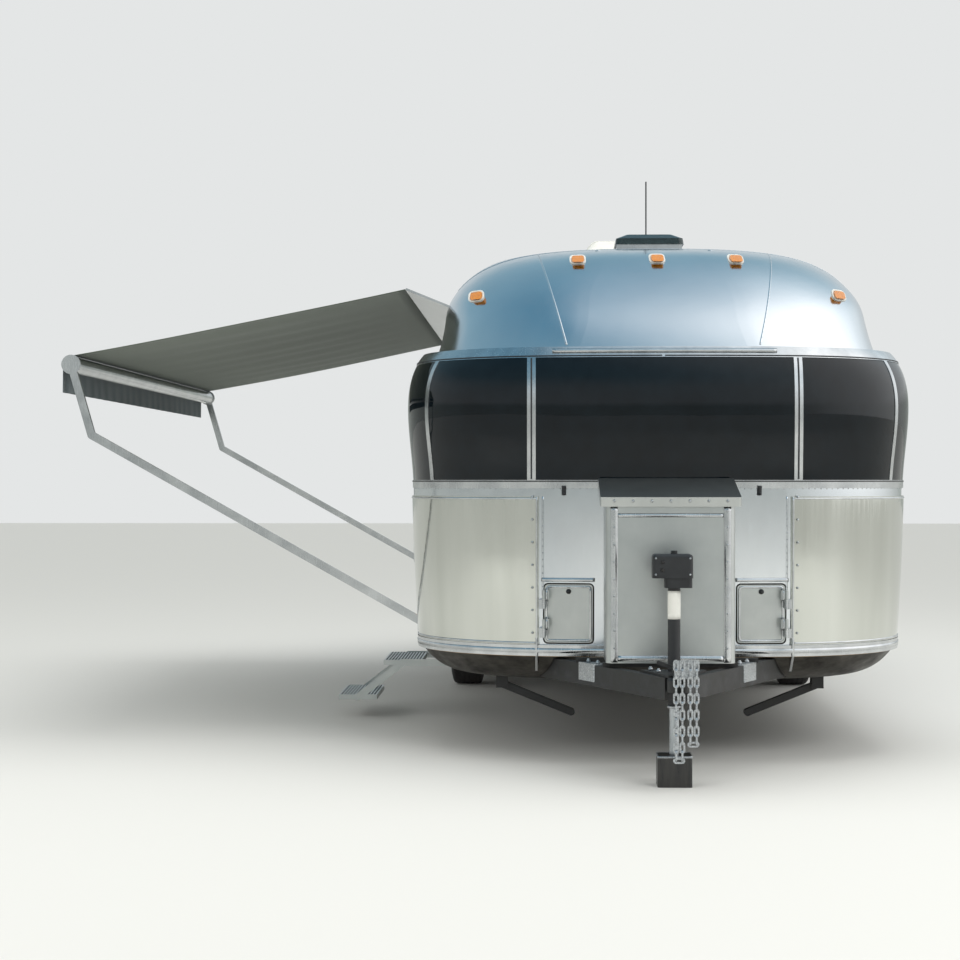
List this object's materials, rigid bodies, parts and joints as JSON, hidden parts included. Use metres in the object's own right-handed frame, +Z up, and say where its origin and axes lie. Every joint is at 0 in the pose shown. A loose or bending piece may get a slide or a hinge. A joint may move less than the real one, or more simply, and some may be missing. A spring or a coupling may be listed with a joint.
{
  "type": "travel caravan",
  "caption": "Full-size polished aluminium travel caravan with rounded ends, wrap-round front windows, tandem axles, nose jack, gas box and an open kerb-side awning.",
  "frame": {"origin": "centre of the ball socket in the coupler, 0.47 m above the ground", "axes": "+X to the road side, -X to the kerb side with door and awning, +Y to the rear along the drawbar, +Z up"},
  "size_m": [4.4692, 8.8367, 3.09],
  "materials": {
    "aluminium_polished": "polished sheet with fine brushing",
    "aluminium_satin": "satin sheet",
    "aluminium_trim": "anodised trim",
    "steel_black": "black chassis paint",
    "steel_bright": "zinc plated",
    "stainless_guard": "polished stainless sheet",
    "glass_dark": "dark privacy glass",
    "rubber_tyre": "black tyre rubber",
    "alloy_wheel": "polished alloy",
    "plastic_black": "black moulded plastic",
    "plastic_smoked": "smoked acrylic",
    "plastic_white": "white moulded plastic",
    "lens_amber": "amber lens",
    "lens_red": "red lens",
    "awning_canvas": "woven awning canvas",
    "deck_board": "plywood deck",
    "bottle_paint": "white gas bottle paint"
  },
  "bodies": {
    "caravan": {"air_conditioner": "plastic_white", "awning_arms": "aluminium_trim", "awning_fabric": "awning_canvas", "awning_rail": "aluminium_trim", "awning_roller": "aluminium_trim", "axles": "steel_black", "belly_pan": "aluminium_satin", "chassis_frame": "steel_black", "coupler": "steel_black", "drawbar_clamps": "steel_bright", "floor_deck": "deck_board", "front_dome": "aluminium_polished", "front_lower_panel": "aluminium_polished", "front_window_frame": "aluminium_trim", "front_window_glass": "glass_dark", "gas_bottles": "bottle_paint", "gas_box": "aluminium_satin", "grab_handle": "aluminium_trim", "jack_post": "plastic_black", "lower_trim": "aluminium_trim", "marker_lamps": "lens_amber", "panel_hinges": "aluminium_trim", "rear_bumper": "steel_black", "rear_cap": "aluminium_polished", "roof_aerials": "plastic_black", "roof_panel": "aluminium_polished", "safety_chains": "steel_bright", "side_wall_kerb": "aluminium_polished", "side_wall_road": "aluminium_polished", "stone_guards": "stainless_guard", "tail_lamps": "lens_red", "vent_bases": "aluminium_trim", "wheel_wells": "steel_black", "window_frames": "aluminium_trim", "window_glass": "glass_dark"},
    "entry_door": {"entry_door": "aluminium_polished", "door_glass": "glass_dark", "door_lock": "plastic_black"},
    "gas_box_lid": {"gas_box_lid": "aluminium_satin"},
    "jack_ram": {"jack_ram": "steel_black"},
    "front_hatch_road": {"front_hatch_road": "aluminium_satin"},
    "front_hatch_kerb": {"front_hatch_kerb": "aluminium_satin"},
    "vent_lid_front": {"vent_lid_front": "plastic_smoked"},
    "vent_lid_rear": {"vent_lid_rear": "plastic_smoked"},
    "entry_step": {"entry_step": "aluminium_satin"},
    "wheel_front_road": {"tyre_front_road": "rubber_tyre", "rim_front_road": "alloy_wheel"},
    "stabiliser_front_road": {"stabiliser_front_road": "steel_black"},
    "wheel_front_kerb": {"tyre_front_kerb": "rubber_tyre", "rim_front_kerb": "alloy_wheel"},
    "stabiliser_front_kerb": {"stabiliser_front_kerb": "steel_black"},
    "wheel_rear_road": {"tyre_rear_road": "rubber_tyre", "rim_rear_road": "alloy_wheel"},
    "stabiliser_rear_road": {"stabiliser_rear_road": "steel_black"},
    "wheel_rear_kerb": {"tyre_rear_kerb": "rubber_tyre", "rim_rear_kerb": "alloy_wheel"},
    "stabiliser_rear_kerb": {"stabiliser_rear_kerb": "steel_black"}
  },
  "joints": [
    {"name": "wheel_front_road_spin", "type": "hinge", "parent": "caravan", "child": "wheel_front_road", "pos_m": [1.095, 5.25, -0.111], "axis": [1, 0, 0], "continuous": true},
    {"name": "wheel_front_kerb_spin", "type": "hinge", "parent": "caravan", "child": "wheel_front_kerb", "pos_m": [-1.095, 5.25, -0.111], "axis": [1, 0, 0], "continuous": true},
    {"name": "wheel_rear_road_spin", "type": "hinge", "parent": "caravan", "child": "wheel_rear_road", "pos_m": [1.095, 6.1, -0.111], "axis": [1, 0, 0], "continuous": true},
    {"name": "wheel_rear_kerb_spin", "type": "hinge", "parent": "caravan", "child": "wheel_rear_kerb", "pos_m": [-1.095, 6.1, -0.111], "axis": [1, 0, 0], "continuous": true},
    {"name": "door_hinge", "type": "hinge", "parent": "caravan", "child": "entry_door", "pos_m": [-1.276, 3.66, 0.73], "axis": [0, 0, -1], "range_deg": [0, 150]},
    {"name": "gas_lid_hinge", "type": "hinge", "parent": "caravan", "child": "gas_box_lid", "pos_m": [0, 0.95784, 0.91361], "axis": [-1, 0, 0], "range_deg": [0, 65]},
    {"name": "jack_slide", "type": "slide", "parent": "caravan", "child": "jack_ram", "axis": [0, 0, 1], "range_m": [-0.1, 0.2]},
    {"name": "hatch_road_hinge", "type": "hinge", "parent": "caravan", "child": "front_hatch_road", "pos_m": [0.5865, 1.014, 0.26], "axis": [0, 0, 1], "range_deg": [0, 95]},
    {"name": "hatch_kerb_hinge", "type": "hinge", "parent": "caravan", "child": "front_hatch_kerb", "pos_m": [-0.5865, 1.014, 0.26], "axis": [0, 0, -1], "range_deg": [0, 95]},
    {"name": "vent_front_hinge", "type": "hinge", "parent": "caravan", "child": "vent_lid_front", "pos_m": [0, 2.906, 2.2163], "axis": [-1, 0, 0], "range_deg": [0, 45]},
    {"name": "vent_rear_hinge", "type": "hinge", "parent": "caravan", "child": "vent_lid_rear", "pos_m": [0, 6.886, 2.2163], "axis": [-1, 0, 0], "range_deg": [0, 45]},
    {"name": "step_slide", "type": "slide", "parent": "caravan", "child": "entry_step", "axis": [1, 0, 0], "range_m": [0, 0.3]},
    {"name": "stabiliser_front_road_swing", "type": "hinge", "parent": "caravan", "child": "stabiliser_front_road", "pos_m": [0.8, 1.56, -0.128], "axis": [0, -1, 0], "range_deg": [-22, 30]},
    {"name": "stabiliser_front_kerb_swing", "type": "hinge", "parent": "caravan", "child": "stabiliser_front_kerb", "pos_m": [-0.8, 1.56, -0.128], "axis": [0, 1, 0], "range_deg": [-22, 30]},
    {"name": "stabiliser_rear_road_swing", "type": "hinge", "parent": "caravan", "child": "stabiliser_rear_road", "pos_m": [0.8, 8.18, -0.128], "axis": [0, -1, 0], "range_deg": [-22, 30]},
    {"name": "stabiliser_rear_kerb_swing", "type": "hinge", "parent": "caravan", "child": "stabiliser_rear_kerb", "pos_m": [-0.8, 8.18, -0.128], "axis": [0, 1, 0], "range_deg": [-22, 30]}
  ]
}
